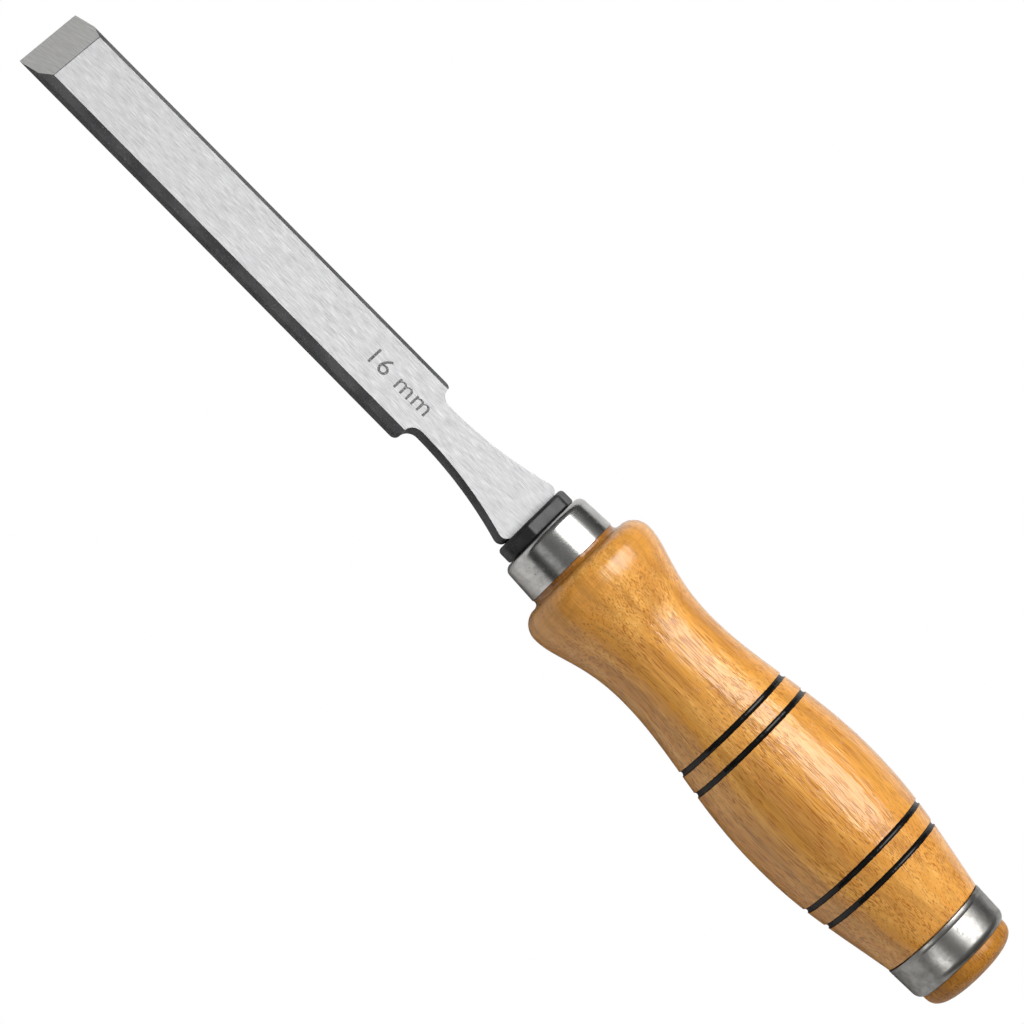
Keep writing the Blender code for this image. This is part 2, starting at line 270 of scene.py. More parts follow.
class Graph:
    """The node tree of one material, with short calls for the nodes that the finishes share."""

    def __init__(self, name: str) -> None:
        """Start a material that holds a Principled shader and the piece's own coordinates."""
        self.material = bpy.data.materials.new(name)
        self.material.use_nodes = True
        self.tree = self.material.node_tree
        self.shader = self.tree.nodes["Principled BSDF"]
        self.coords = self.tree.nodes.new("ShaderNodeTexCoord").outputs["Object"]

    def put(self, node: bpy.types.Node, values: dict) -> bpy.types.Node:
        """Set or link a node's inputs.

        Args:
            node: The node.
            values: Input name or index to a number, a tuple or another node's output.

        Returns:
            The same node.
        """
        for key, value in values.items():
            if isinstance(value, Socket):
                self.tree.links.new(value, node.inputs[key])
            else:
                node.inputs[key].default_value = value
        return node

    def node(self, kind: str, values: dict, **settings: object) -> bpy.types.Node:
        """Add a node.

        Args:
            kind: The node's type, without the ShaderNode prefix.
            values: Its inputs, as put() takes them.
            settings: Its other properties.

        Returns:
            The node.
        """
        made = self.tree.nodes.new("ShaderNode" + kind)
        for key, value in settings.items():
            setattr(made, key, value)
        return self.put(made, values)

    def attribute(self, name: str) -> Socket:
        """The value of one of the mesh's own attributes."""
        return self.node("Attribute", {}, attribute_name=name).outputs["Fac"]

    def noise(
        self,
        density: tuple[float, float, float],
        detail: float = 2.0,
        roughness: float = 0.5,
        distortion: float = 0.0,
        turn: tuple[float, float, float] = (0.0, 0.0, 0.0),
        shift: tuple[float, float, float] = (0.0, 0.0, 0.0),
    ) -> Socket:
        """Noise whose spots are stretched.

        Args:
            density: Spots per metre along each axis.
            detail: How many finer layers it has.
            roughness: How strong those are.
            distortion: How far it is warped.
            turn: How the coordinates are turned first, in radians.
            shift: How far they are moved first, in metres.

        Returns:
            The noise, mostly between 0.3 and 0.7.
        """
        vector = self.coords
        if any(turn) or any(shift):
            placed = self.node("Mapping", {"Vector": vector, "Rotation": turn, "Location": shift})
            vector = placed.outputs[0]
        stretched = self.node("Mapping", {"Vector": vector, "Scale": density})
        values = {
            "Vector": stretched.outputs[0],
            "Scale": 1.0,
            "Detail": detail,
            "Roughness": roughness,
            "Distortion": distortion,
        }
        return self.node("TexNoise", values).outputs[0]

    def level(
        self,
        source: Socket,
        low: float,
        high: float,
        to_low: float = 0.0,
        to_high: float = 1.0,
    ) -> Socket:
        """Map a range of values to another, held at its ends.

        Args:
            source: The value.
            low: Where the range starts.
            high: Where it ends.
            to_low: What the start becomes.
            to_high: What the end becomes.

        Returns:
            The mapped value.
        """
        values = {0: source, 1: low, 2: high, 3: to_low, 4: to_high}
        return self.node("MapRange", values, clamp=True).outputs[0]

    def math(self, operation: str, first: object, second: object = 0.0) -> Socket:
        """A sum, a product or another step of arithmetic on two values."""
        return self.node("Math", {0: first, 1: second}, operation=operation).outputs[0]

    def scaled(self, value: Socket, share: object) -> Socket:
        """A value times a share."""
        return self.math("MULTIPLY", value, share)

    def total(self, *shares: tuple[Socket, float]) -> Socket:
        """The sum of some values.

        Args:
            shares: Each value with the share that it has in the sum.

        Returns:
            The sum.
        """
        parts = [self.scaled(value, share) for value, share in shares]
        added = parts[0]
        for part in parts[1:]:
            added = self.math("ADD", added, part)
        return added

    def mix(self, factor: object, first: object, second: object, blend: str = "MIX") -> Socket:
        """Blend two colours.

        Args:
            factor: How much of the second one.
            first: A colour of four numbers or an output.
            second: Another.
            blend: The way in which they are blended.

        Returns:
            The blended colour.
        """
        made = self.node("Mix", {0: factor, 6: first, 7: second}, data_type="RGBA", blend_type=blend)
        return made.outputs[2]

    def blend_values(self, factor: object, first: object, second: object) -> Socket:
        """Blend two plain values."""
        return self.node("Mix", {0: factor, 2: first, 3: second}, data_type="FLOAT").outputs[0]

    def bump(self, height: Socket, depth: float, under: Socket | None = None) -> Socket:
        """Tilt the surface by a height.

        Args:
            height: The height, from 0 to 1.
            depth: What 1 is, in metres.
            under: A bump that this one lies on.

        Returns:
            The normal.
        """
        values = {"Height": height, "Strength": 1.0, "Distance": depth}
        if under is not None:
            values["Normal"] = under
        return self.node("Bump", values).outputs[0]


def opaque(color: Color) -> tuple[float, float, float, float]:
    """A colour with full alpha."""
    return (*color, 1.0)


@dataclass(frozen=True)
class GroundSteel:
    """Steel with the lines of a grinding belt, cloudy where the belt bit deeper."""

    name: str
    bright: Color = (0.545, 0.545, 0.551)
    dull: Color = (0.395, 0.395, 0.401)
    roughness: float = 0.64
    cloudiness: float = 0.11
    scratch_turn: float = 0.03
    scratch_depth: float = 0.000002

    def material(self) -> Material:
        """Build the material."""
        graph = Graph(self.name)
        fine = graph.noise((380, 6200, 0), 2.0, 0.65, turn=(0, 0, self.scratch_turn))
        crossing = graph.noise((230, 4600, 0), 2.0, 0.6, turn=(0, 0, -self.scratch_turn))
        cloud = graph.noise((150, 480, 0), 3.0, 0.55, distortion=0.4)
        lines = graph.total((fine, 0.65), (crossing, 0.35))
        tone = graph.total((lines, 1 - self.cloudiness), (cloud, self.cloudiness))
        color = graph.mix(graph.level(tone, 0.36, 0.64), opaque(self.dull), opaque(self.bright))
        nick = graph.level(graph.noise((700, 2300, 2300), 1.0), 0.72, 0.80, 0.0, 0.6)
        color = graph.mix(nick, color, opaque(self.dull))
        rough = graph.level(tone, 0.35, 0.65, self.roughness + 0.05, self.roughness - 0.04)
        graph.put(
            graph.shader,
            {
                "Base Color": color,
                "Metallic": 1.0,
                "Roughness": rough,
                "Normal": graph.bump(lines, self.scratch_depth),
            },
        )
        return graph.material


@dataclass(frozen=True)
class OxidisedSteel:
    """The dark speckled skin that heat treatment leaves on the ground sides."""

    name: str
    dark: Color = (0.058, 0.059, 0.061)
    light: Color = (0.098, 0.099, 0.101)
    bare_grit: Color = (0.30, 0.30, 0.305)
    black_grit: Color = (0.018, 0.018, 0.019)
    roughness: float = 0.42
    speckle: float = 1.0
    grit_depth: float = 0.00002

    def material(self) -> Material:
        """Build the material."""
        graph = Graph(self.name)
        grit = graph.noise((3600, 3600, 3600), 3.0, 0.65)
        drag = graph.noise((150, 2200, 2200), 2.0, 0.5)
        patch = graph.noise((120, 260, 260), 2.0, 0.5)
        base = graph.mix(graph.level(patch, 0.35, 0.65), opaque(self.dark), opaque(self.light))
        bare = graph.level(grit, 0.60, 0.72, 0.0, 0.55 * self.speckle)
        base = graph.mix(bare, base, opaque(self.bare_grit))
        black = graph.level(grit, 0.42, 0.30, 0.0, 0.6 * self.speckle)
        base = graph.mix(black, base, opaque(self.black_grit))
        height = graph.total((grit, self.speckle), (drag, 0.4))
        rough = graph.level(grit, 0.35, 0.65, self.roughness + 0.1, self.roughness - 0.06)
        graph.put(
            graph.shader,
            {
                "Base Color": base,
                "Metallic": 0.05,
                "Roughness": rough,
                "Specular IOR Level": 0.12,
                "Normal": graph.bump(height, self.grit_depth),
            },
        )
        return graph.material


@dataclass(frozen=True)
class WornEdge:
    """Bare steel along an edge, where handling has rubbed the skin off."""

    name: str
    bright: Color = (0.62, 0.62, 0.62)
    dark: Color = (0.16, 0.16, 0.165)
    wear: float = 0.5

    def material(self) -> Material:
        """Build the material."""
        graph = Graph(self.name)
        patch = graph.noise((420, 900, 900), 3.0, 0.6)
        start = 0.72 - 0.34 * self.wear
        bare = graph.level(patch, start, start + 0.14)
        color = graph.mix(bare, opaque(self.dark), opaque(self.bright))
        graph.put(graph.shader, {"Base Color": color, "Metallic": 0.9, "Roughness": 0.36})
        return graph.material


@dataclass(frozen=True)
class SatinSteel:
    """Drawn steel, tumbled to a satin, with small dull spots and a few turning lines round it."""

    name: str
    light: Color = (0.56, 0.555, 0.54)
    dull: Color = (0.41, 0.405, 0.39)
    spot: Color = (0.24, 0.235, 0.225)
    roughness: float = 0.20
    mottle: float = 0.5
    grain_depth: float = 0.0000055

    def material(self) -> Material:
        """Build the material."""
        graph = Graph(self.name)
        cloud = graph.noise((420, 420, 420), 4.0, 0.65, distortion=0.3)
        spots = graph.level(graph.noise((1500, 1500, 1500), 2.0, 0.6), 0.60, 0.74)
        grain = graph.noise((4200, 4200, 4200), 2.0, 0.6)
        rings = graph.noise((2600, 55, 55), 3.0, 0.55)
        tone = graph.total((cloud, 0.85), (rings, 0.15))
        color = graph.mix(graph.level(tone, 0.38, 0.62), opaque(self.dull), opaque(self.light))
        color = graph.mix(graph.scaled(spots, self.mottle), color, opaque(self.spot))
        rough = graph.level(tone, 0.35, 0.65, self.roughness + 0.07, self.roughness - 0.03)
        rough = graph.math("ADD", rough, graph.scaled(spots, 0.18 * self.mottle))
        height = graph.total((rings, 0.08), (grain, self.mottle))
        graph.put(
            graph.shader,
            {
                "Base Color": color,
                "Metallic": 1.0,
                "Roughness": rough,
                "Normal": graph.bump(height, self.grain_depth),
            },
        )
        return graph.material


@dataclass(frozen=True)
class BlackEnamel:
    """Black enamel with a soft gloss, dust in it and faint rubbing."""

    name: str
    color: Color = (0.009, 0.009, 0.010)
    rubbed: Color = (0.025, 0.025, 0.026)
    dust: Color = (0.12, 0.12, 0.12)
    roughness: float = 0.40
    ripple_depth: float = 0.00002

    def material(self) -> Material:
        """Build the material."""
        graph = Graph(self.name)
        cloud = graph.noise((330, 330, 330), 3.0, 0.6)
        specks = graph.level(graph.noise((2600, 2600, 2600), 1.0), 0.68, 0.76)
        color = graph.mix(graph.level(cloud, 0.4, 0.66), opaque(self.color), opaque(self.rubbed))
        color = graph.mix(graph.scaled(specks, 0.5), color, opaque(self.dust))
        rough = graph.level(cloud, 0.35, 0.65, self.roughness - 0.06, self.roughness + 0.10)
        graph.put(
            graph.shader,
            {
                "Base Color": color,
                "Roughness": rough,
                "Specular IOR Level": 0.43,
                "Normal": graph.bump(cloud, self.ripple_depth),
            },
        )
        return graph.material


@dataclass(frozen=True)
class EtchedMark:
    """The dull dark floor of an etched figure."""

    name: str
    dark: Color = (0.05, 0.05, 0.05)
    light: Color = (0.22, 0.22, 0.22)

    def material(self) -> Material:
        """Build the material."""
        graph = Graph(self.name)
        grit = graph.noise((2800, 2800, 2800), 2.0, 0.6)
        color = graph.mix(graph.level(grit, 0.4, 0.66), opaque(self.dark), opaque(self.light))
        graph.put(graph.shader, {"Base Color": color, "Metallic": 0.5, "Roughness": 0.6})
        return graph.material


@dataclass(frozen=True)
class VarnishedWood:
    """Honey-coloured, open-pored wood under clear varnish, with black lacquer in its grooves.

    The mesh says where the painted shade in the cove behind the ferrule, the lathe marks and the lacquer
    are, in its attributes cove, lathe and lacquer.
    """

    name: str
    early: Color = (0.97, 0.525, 0.135)
    late: Color = (0.76, 0.330, 0.054)
    shade: Color = (0.44, 0.185, 0.030)
    pore: Color = (0.44, 0.145, 0.013)
    # painted shade: the multiplier that darkens the wood in the cove behind the ferrule
    cove: Color = (0.37, 0.30, 0.11)
    lacquer: Color = (0.005, 0.005, 0.005)
    grain_turn: tuple[float, float, float] = (0.35, 0.012, 0.02)
    roughness: float = 0.45
    lacquer_roughness: float = 0.30
    coat: float = 1.0
    lacquer_coat: float = 0.45
    coat_roughness: float = 0.15
    coat_ior: float = 1.55
    film_depth: float = 0.000034
    swell_depth: float = 0.00020

    def grain(self, graph: Graph) -> tuple[Socket, Socket, Socket]:
        """Growth bands, streaks and fibres, and the darker stretches among them.

        Args:
            graph: The material's nodes.

        Returns:
            The colour, the streaks and the fibres.
        """
        turn = self.grain_turn
        band = graph.noise((9, 230, 360), 3.0, 0.55, distortion=0.35, turn=turn)
        streak = graph.noise((34, 1100, 1500), 3.0, 0.6, turn=turn)
        fibre = graph.noise((150, 4200, 4200), 3.0, 0.65, turn=turn)
        color = graph.mix(graph.level(band, 0.38, 0.62), opaque(self.late), opaque(self.early))
        color = graph.mix(graph.level(streak, 0.42, 0.62, 0.0, 0.80), color, opaque(self.late))
        color = graph.mix(graph.level(fibre, 0.34, 0.60, 0.85, 0.0), color, opaque(self.late))
        stretch = graph.noise((14, 300, 420), 2.0, 0.5, turn=turn, shift=(0.3, 0.1, 0))
        shaded = graph.scaled(graph.level(stretch, 0.49, 0.64), 0.46)
        return graph.mix(shaded, color, opaque(self.shade)), streak, fibre

    def pores(self, graph: Graph, worked: Socket) -> Socket:
        """Open pores: short dashes along the grain, crowded in places.

        Args:
            graph: The material's nodes.
            worked: Where the lathe has half closed them.

        Returns:
            How open the wood is, from 0 to 1.
        """
        turn = self.grain_turn
        crowd = graph.noise((22, 260, 420), 2.0, 0.5, turn=turn, shift=(0, 0, 0.7))
        threshold = graph.level(graph.level(crowd, 0.34, 0.60), 0.0, 1.0, 0.62, 0.52)
        dashes = graph.noise((170, 5000, 5000), 1.0, 0.5, turn=turn)
        pores = graph.level(graph.math("SUBTRACT", dashes, threshold), 0.0, 0.06)
        return graph.scaled(pores, graph.level(worked, 0.0, 1.0, 1.0, 0.45))

    def lacquered(self, graph: Graph) -> Socket:
        """How much lacquer lies on the wood, with a ragged edge."""
        ragged = graph.math("SUBTRACT", graph.noise((900, 2100, 2100), 2.0), 0.5)
        edge = graph.math("ADD", graph.attribute("lacquer"), graph.scaled(ragged, 0.9))
        return graph.level(edge, 0.42, 0.58)

    def material(self) -> Material:
        """Build the material."""
        graph = Graph(self.name)
        color, streak, fibre = self.grain(graph)
        worked = graph.attribute("lathe")
        pores = self.pores(graph, worked)
        color = graph.mix(graph.scaled(pores, 0.88), color, opaque(self.pore))
        lathe = graph.scaled(worked, graph.noise((2600, 260, 260), 2.0, 0.5))
        color = graph.mix(graph.level(lathe, 0.40, 0.66, 0.0, 0.38), color, opaque(self.shade))
        # Painted shade in the cove behind the ferrule, mottled by noise and multiplied into the colour.
        cove_shade_mottle = graph.level(graph.noise((160, 160, 160), 2.0, 0.5), 0.3, 0.7, 0.80, 1.0)
        cove_shaded = graph.scaled(graph.attribute("cove"), cove_shade_mottle)
        color = graph.mix(cove_shaded, color, opaque(self.cove), "MULTIPLY")
        lacquer = self.lacquered(graph)
        color = graph.mix(lacquer, color, opaque(self.lacquer))

        dry = graph.level(streak, 0.35, 0.65, self.roughness - 0.05, self.roughness + 0.08)
        rough = graph.blend_values(lacquer, dry, self.lacquer_roughness)
        open_pores = graph.scaled(pores, graph.math("SUBTRACT", 1.0, lacquer))
        sunk = graph.math("SUBTRACT", 1.0, open_pores)
        film = graph.total((sunk, 0.5), (fibre, 0.40), (lathe, 0.80))
        swell = graph.noise((75, 620, 620), 3.0, 0.6, turn=self.grain_turn)
        film_normal = graph.bump(film, self.film_depth, graph.bump(swell, self.swell_depth))
        coat = graph.level(lacquer, 0.0, 1.0, self.coat, self.lacquer_coat * self.coat)
        graph.put(
            graph.shader,
            {
                "Base Color": color,
                "Roughness": rough,
                "Specular IOR Level": 0.0,
                "Normal": film_normal,
                "Coat Weight": coat,
                "Coat Roughness": self.coat_roughness,
                "Coat IOR": self.coat_ior,
                "Coat Normal": film_normal,
            },
        )
        return graph.material


# ---------------------------------------------------------------- blade


class BladeZone(IntEnum):
    """Which finish a face of the blade takes."""

    FLAT = 0
    CUTTING_BEVEL = 1
    SIDE = 2
    EDGE = 3
    WALL = 4
    HEEL = 5


@dataclass
class Blade:
    """The ground blade with its neck, flare and hidden tang."""

    length: float = 0.1043
    width: float = 0.0165
    thickness: float = 0.0033
    cutting_angle: float = math.radians(25)
    edge_flat: float = 0.00005
    chamfer_run: float = 0.0015
    chamfer_drop: float = 0.00115
    side_round: float = 0.0009
    back_round: float = 0.0003
    shoulder_round: float = 0.0014
    shoulder_fillet: float = 0.0026
    neck_length: float = 0.0294
    neck_width: float = 0.0085
    flare_width: float = 0.0164
    flare_corner: float = 0.0016
    tang_root_width: float = 0.008
    tang_tip_width: float = 0.004
    crisp_edge: float = 0.00007
    heel_edge: float = 0.00010
    keen_from: float = 0.0006
    keen_turn: float = math.radians(22)
    level_normal: float = 0.98
    wall_from: float = 0.0002
    ground_flat_area: float = 4e-6
    mark: str = "16 mm"
    mark_height: float = 0.0042
    mark_type_size: float = 1.38
    mark_spacing: float = 1.06
    mark_proud: float = 0.00001
    mark_from_shoulder: float = 0.0076

    def half_outline(self) -> list[Point]:
        """The outline on the +Y side, from the cutting edge to the tip of the tang."""
        quarter = math.pi / 2
        corner = (self.length - self.shoulder_round, self.width / 2 - self.shoulder_round)
        hollow = (self.length + self.shoulder_fillet, self.neck_width / 2 + self.shoulder_fillet)
        side = [(0, self.width / 2)]
        side += arc(corner, self.shoulder_round, quarter, 0)
        side += arc(hollow, self.shoulder_fillet, 2 * quarter, 3 * quarter)
        side += self.flare_outline(hollow[0])
        end = self.length + self.neck_length
        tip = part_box("blade")[1].x - lowest("blade").x
        return side + [(end, self.tang_root_width / 2), (tip, self.tang_tip_width / 2)]

    def flare_outline(self, start: float) -> list[Point]:
        """One hollow arc from the neck to the rounded corner of the flare.

        Args:
            start: Where the neck's fillet ends.

        Returns:
            The points from the neck to the flare's end face.
        """
        end = self.length + self.neck_length
        corner = (end - self.flare_corner, self.flare_width / 2 - self.flare_corner)
        run = corner[0] - start
        rise = corner[1] - self.neck_width / 2
        radius = (run**2 + rise**2 - self.flare_corner**2) / (2 * (rise + self.flare_corner))
        centre = (start, self.neck_width / 2 + radius)
        sweep = math.atan2(run, centre[1] - corner[1])
        hollow = arc(centre, radius, -math.pi / 2, sweep - math.pi / 2, 3 * ARC_STEPS)
        return hollow + arc(corner, self.flare_corner, sweep + math.pi / 2, 0)

    def plate(self) -> Mesh:
        """The flat plate that the bevels are ground on, from the outline."""
        side = self.half_outline()
        outline = side + [(x, -y) for x, y in reversed(side)]
        bm = bmesh.new()
        bm.faces.new([bm.verts.new((x, y, -self.thickness / 2)) for x, y in outline])
        bmesh.ops.remove_doubles(bm, verts=bm.verts, dist=WELD)
        grown = bmesh.ops.extrude_face_region(bm, geom=bm.faces[:])
        moved = [item for item in grown["geom"] if isinstance(item, Vert)]
        bmesh.ops.translate(bm, verts=moved, vec=(0, 0, self.thickness))
        bmesh.ops.recalc_face_normals(bm, faces=bm.faces)
        return bm

    def grind(self, bm: Mesh, point: Vector, out: Vector, before: float) -> None:
        """Grind one flat: take away what lies outside a plane, and close the cut.

        Args:
            bm: The blade.
            point: A point of the plane.
            out: The plane's direction, away from the steel that stays.
            before: Only what lies in front of this station is ground.
        """
        verts = {vert for vert in bm.verts if vert.co.x <= before + WELD}
        edges = [edge for edge in bm.edges if all(vert in verts for vert in edge.verts)]
        faces = [face for face in bm.faces if all(vert in verts for vert in face.verts)]
        cut = bmesh.ops.bisect_plane(
            bm,
            geom=list(verts) + edges + faces,
            dist=WELD,
            plane_co=point,
            plane_no=out,
            clear_outer=True,
        )
        rim = [item for item in cut["geom_cut"] if isinstance(item, Edge)]
        bmesh.ops.edgeloop_fill(bm, edges=rim)
        bmesh.ops.recalc_face_normals(bm, faces=bm.faces)

    def is_back_rim(self, edge: Edge) -> bool:
        """True for the lower rim of blade, neck and flare, apart from the cutting edge and the tang."""
        end = self.length + self.neck_length
        on_back = all(vert.co.z < 0 for vert in edge.verts)
        at_edge = all(vert.co.x < WELD for vert in edge.verts)
        past_flare = any(vert.co.x > end + WELD for vert in edge.verts)
        at_root = all(vert.co.x > end - WELD for vert in edge.verts)
        return on_back and not (at_edge or past_flare or at_root) and edge.calc_face_angle(0) > 1

    def is_side_corner(self, edge: Edge) -> bool:
        """True for the long edge between a side chamfer and the upright side below it."""
        level = self.thickness / 2 - self.chamfer_drop
        long_edge = edge.calc_length() > self.length / 2
        return long_edge and all(abs(vert.co.z - level) < NEAR for vert in edge.verts)

    def is_heel(self, edge: Edge) -> bool:
        """True for the line where the cutting bevel meets the upper flat."""
        zones = {face.material_index for face in edge.link_faces}
        return zones == {BladeZone.CUTTING_BEVEL, BladeZone.FLAT}

    def is_keen(self, edge: Edge) -> bool:
        """True for a crisp upper edge, apart from the heel line and from what lies at the cutting edge."""
        end = self.length + self.neck_length
        turns = edge.calc_face_angle(0) > self.keen_turn
        upper = all(vert.co.z > -self.thickness / 4 for vert in edge.verts)
        between = all(self.keen_from < vert.co.x < end + WELD for vert in edge.verts)
        return turns and upper and between and not self.is_heel(edge)

    def zone(self, face: Face) -> BladeZone:
        """The zone of a face, from the way it looks."""
        normal = face.normal
        if normal.z > 0.5 and -normal.x > math.sin(self.cutting_angle) / 2:
            return BladeZone.CUTTING_BEVEL
        if abs(normal.z) > self.level_normal:
            return BladeZone.FLAT
        if face.calc_center_median().x > self.length + self.wall_from:
            return BladeZone.WALL
        return BladeZone.SIDE

    def mesh(self) -> Mesh:
        """Build the blade: plate, rounded back rim, ground bevels and crisp edges."""
        bm = self.plate()
        round_edges(bm, [edge for edge in bm.edges if self.is_back_rim(edge)], self.back_round, 4)
        neck = self.length + self.neck_length / 3
        bmesh.ops.bisect_plane(
            bm, geom=bm.verts[:] + bm.edges[:] + bm.faces[:], plane_co=(neck, 0, 0), plane_no=(1, 0, 0)
        )
        top = self.thickness / 2
        for side in (1, -1):
            start = Vector((0, side * (self.width / 2 - self.chamfer_run), top))
            out = Vector((0, side * self.chamfer_drop, self.chamfer_run)).normalized()
            self.grind(bm, start, out, neck)
        round_edges(bm, [edge for edge in bm.edges if self.is_side_corner(edge)], self.side_round, 9)
        lip = Vector((0, 0, self.edge_flat - top))
        out = Vector((-math.sin(self.cutting_angle), 0, math.cos(self.cutting_angle)))
        self.grind(bm, lip, out, neck)
        bmesh.ops.dissolve_limit(
            bm, angle_limit=math.radians(0.05), verts=bm.verts[:], edges=bm.edges[:], delimit=set()
        )
        for face in bm.faces:
            face.material_index = self.zone(face)
        keen = [edge for edge in bm.edges if self.is_keen(edge)]
        for face in round_edges(bm, keen, self.crisp_edge, 2):
            face.material_index = BladeZone.EDGE
        heel = [edge for edge in bm.edges if self.is_heel(edge)]
        for face in round_edges(bm, heel, self.heel_edge, 2):
            face.material_index = BladeZone.HEEL
        mark_sharp(bm, math.radians(24), self.ground_flat_area)
        return bm

    def size_mark(self, x: float) -> Piece:
        """The width of the blade, etched in plain figures on its upper flat.

        Args:
            x: Where the blade's front end lies.

        Returns:
            The mark, a hair's breadth proud of the steel.
        """
        letters = bpy.data.curves.new("size_mark", "FONT")
        letters.body = self.mark
        letters.size = self.mark_height * self.mark_type_size
        letters.space_character = self.mark_spacing
        letters.align_x = "CENTER"
        letters.align_y = "CENTER"
        letters.extrude = self.mark_proud
        letters.resolution_u = 6
        written = bpy.data.objects.new("size_mark_text", letters)
        bpy.context.scene.collection.objects.link(written)
        bpy.context.view_layer.update()
        graph = bpy.context.evaluated_depsgraph_get()
        mesh = bpy.data.meshes.new_from_object(written.evaluated_get(graph))
        bpy.data.objects.remove(written)
        bm = bmesh.new()
        bm.from_mesh(mesh)
        bpy.data.meshes.remove(mesh)
        bmesh.ops.remove_doubles(bm, verts=bm.verts, dist=WELD)
        bmesh.ops.recalc_face_normals(bm, faces=bm.faces)
        place = Vector((self.length - self.mark_from_shoulder, 0, self.thickness / 2))
        bmesh.ops.translate(bm, verts=bm.verts, vec=place)
        etched = EtchedMark("etched_mark").material()
        return show("size_mark", bm, x, "blade", [etched], stands_for_node=False)

    def finishes(self) -> list[Material]:
        """The finish of each zone, in the order of BladeZone."""
        return [
            GroundSteel("ground_flat").material(),
            GroundSteel(
                "ground_cutting_bevel",
                bright=(0.81, 0.806, 0.788),
                dull=(0.56, 0.557, 0.546),
                scratch_turn=0.05,
                scratch_depth=0.000004,
            ).material(),
            OxidisedSteel("oxidised_side").material(),
            WornEdge("rubbed_edge").material(),
            OxidisedSteel("oxidised_neck_wall", speckle=0.35).material(),
            OxidisedSteel(
                "bevel_heel_line",
                dark=(0.11, 0.11, 0.11),
                light=(0.20, 0.20, 0.20),
                speckle=0.5,
            ).material(),
        ]

    def build(self) -> list[Piece]:
        """Build and dress the blade and its mark."""
        x = lowest("blade").x
        blade = show("chisel_blade", self.mesh(), x, "blade", self.finishes())
        return [blade, self.size_mark(x)]


# ---------------------------------------------------------------- collar and ferrule


@dataclass
class Collar:
    """The eight-sided enamelled plate between the flare and the ferrule."""

    top_width: float = 0.0100
    side_height: float = 0.0030
    slot_half_width: float = 0.0043
    slot_half_height: float = 0.00195
    front_round: float = 0.0009
    rear_round: float = 0.0005
    facet_round: float = 0.0006
    flat_area: float = 1.2e-6

    def front_x(self) -> float:
        """Where the collar starts: against the end of the flare."""
        return lowest("bolster_collar").x - GAP + SEAM

    def rear_x(self) -> float:
        """Where the collar ends: against the face of the ferrule."""
        return lowest("front_ferrule").x - SEAM

    def outline(self, half_width: float, half_height: float) -> list[Point]:
        """The eight corners, seen from the front."""
        quarter = [(half_width, self.side_height / 2), (self.top_width / 2, half_height)]
        upper = quarter + [(-y, z) for y, z in reversed(quarter)]
        return upper + [(y, -z) for y, z in reversed(upper)]

    def slot(self) -> list[Point]:
        """The four corners of the slot for the tang."""
        y, z = self.slot_half_width, self.slot_half_height
        return [(y, z), (-y, z), (-y, -z), (y, -z)]

    def prism(self, thickness: float) -> Mesh:
        """The solid eight-sided plate, its corners and both its rims rounded.

        Args:
            thickness: From its front face to its rear face.

        Returns:
            The plate, without its slot.
        """
        low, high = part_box("bolster_collar")
        corners = self.outline((high.y - low.y) / 2, (high.z - low.z) / 2)
        bm = bmesh.new()
        bm.faces.new([bm.verts.new((0, y, z)) for y, z in corners])
        grown = bmesh.ops.extrude_face_region(bm, geom=bm.faces[:])
        moved = [item for item in grown["geom"] if isinstance(item, Vert)]
        bmesh.ops.translate(bm, verts=moved, vec=(thickness, 0, 0))
        bmesh.ops.recalc_face_normals(bm, faces=bm.faces)
        facets = [edge for edge in bm.edges if abs(edge.verts[0].co.x - edge.verts[1].co.x) > WELD]
        round_edges(bm, facets, self.facet_round, 6)
        for x, size, steps in ((0, self.front_round, 8), (thickness, self.rear_round, 6)):
            rim = [edge for edge in bm.edges if all(abs(vert.co.x - x) < WELD for vert in edge.verts)]
            round_edges(bm, rim, size, steps, clamp=False)
        return bm

    def mesh(self) -> Mesh:
        """Build the plate and open its slot."""
        thickness = self.rear_x() - self.front_x()
        bm = self.prism(thickness)
        ends = [face for face in bm.faces if abs(face.normal.x) > 0.9999]
        rims = [face.edges[:] for face in ends]
        stations = [face.calc_center_median().x for face in ends]
        bmesh.ops.delete(bm, geom=ends, context="FACES_ONLY")
        sides = []
        for rim, x in zip(rims, stations):
            verts = [bm.verts.new((x, y, z)) for y, z in self.slot()]
            loop = [bm.edges.new(pair) for pair in zip(verts, verts[1:] + verts[:1])]
            bmesh.ops.triangle_fill(bm, edges=rim + loop, use_beauty=True)
            sides += loop
        bmesh.ops.bridge_loops(bm, edges=sides)
        bmesh.ops.recalc_face_normals(bm, faces=bm.faces)
        mark_sharp(bm, math.radians(35), self.flat_area)
        return bm

    def build(self) -> list[Piece]:
        """Build and dress the collar."""
        enamel = BlackEnamel("collar_enamel").material()
        return [show("collar", self.mesh(), self.front_x(), "bolster_collar", [enamel])]


